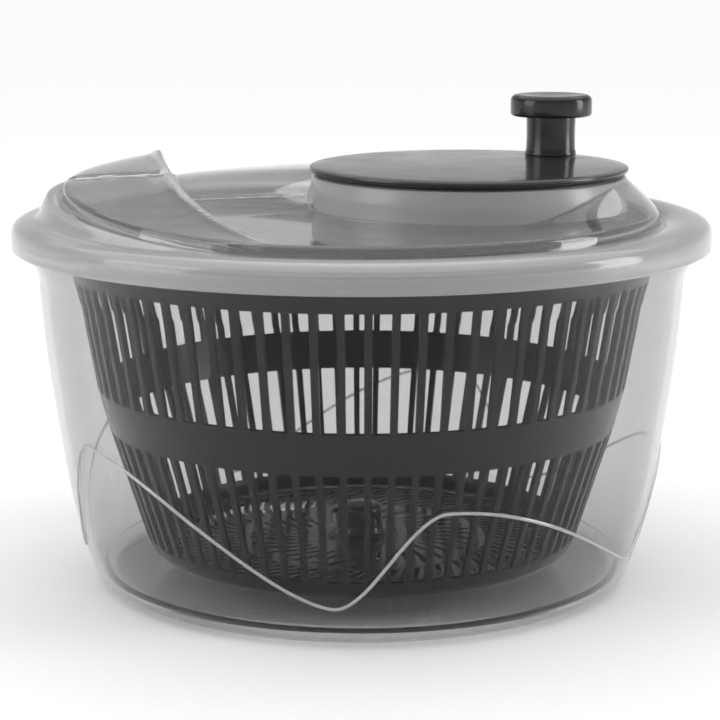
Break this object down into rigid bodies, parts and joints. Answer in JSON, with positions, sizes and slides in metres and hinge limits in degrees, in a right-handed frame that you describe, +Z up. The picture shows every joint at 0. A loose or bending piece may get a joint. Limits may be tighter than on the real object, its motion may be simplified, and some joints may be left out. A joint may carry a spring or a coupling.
{
  "type": "salad spinner",
  "caption": "Clear bowl with a slatted basket and a clear lid; an off-centre crank disc with a knob spins the basket through hidden gears.",
  "frame": {"origin": "centre of the bowl's flat base, on the table", "axes": "+Z up along the basket's axis, +X towards the crank's axis, -Y towards the viewer of the picture"},
  "size_m": [0.26, 0.26, 0.1794],
  "materials": {
    "clear_plastic": "clear, polished",
    "milky_clear_plastic": "slightly milky clear, polished",
    "dark_plastic": "dark grey, glossy",
    "natural_nylon": "natural, satin",
    "zinc_steel": "zinc plated"
  },
  "bodies": {
    "bowl": {"bowl": "clear_plastic"},
    "lid": {"lid": "milky_clear_plastic", "crank_bush": "natural_nylon", "pinion_bush": "natural_nylon"},
    "crank": {"crank_disc": "dark_plastic", "ring_gear": "natural_nylon", "gear_screw_1": "zinc_steel", "gear_screw_2": "zinc_steel", "gear_screw_3": "zinc_steel", "gear_screw_4": "zinc_steel", "crank_washer": "zinc_steel", "crank_screw": "zinc_steel", "knob_washer": "zinc_steel", "knob_screw": "zinc_steel"},
    "knob": {"knob_stem": "dark_plastic", "knob_cap": "dark_plastic"},
    "driver": {"pinion": "natural_nylon", "drive_plate": "dark_plastic", "drive_washer": "zinc_steel", "drive_screw": "zinc_steel"},
    "pivot": {"pivot_bush": "natural_nylon"},
    "basket": {"basket": "dark_plastic", "pivot_clip": "zinc_steel"}
  },
  "joints": [
    {"name": "lid_lift", "type": "slide", "parent": "bowl", "child": "lid", "axis": [0, 0, 1], "range_m": [0, 0.2]},
    {"name": "crank_spin", "type": "hinge", "parent": "lid", "child": "crank", "pos_m": [0.04, 0, 0.153], "axis": [0, 0, 1], "continuous": true},
    {"name": "knob_spin", "type": "hinge", "parent": "crank", "child": "knob", "pos_m": [0.0734, 0.034, 0.165], "axis": [0, 0, 1], "continuous": true},
    {"name": "pinion_spin", "type": "hinge", "parent": "lid", "child": "driver", "pos_m": [0, 0, 0.14], "axis": [0, 0, 1], "continuous": true},
    {"name": "basket_lift", "type": "slide", "parent": "bowl", "child": "pivot", "axis": [0, 0, 1], "range_m": [0, 0.1]},
    {"name": "basket_spin", "type": "hinge", "parent": "pivot", "child": "basket", "pos_m": [0, 0, 0.02], "axis": [0, 0, 1], "continuous": true}
  ],
  "couplings": [
    {"joint": "crank_spin", "follows": "basket_spin", "ratio": 0.23077},
    {"joint": "pinion_spin", "follows": "basket_spin", "ratio": 1},
    {"joint": "basket_lift", "follows": "lid_lift", "ratio": 0.5}
  ]
}
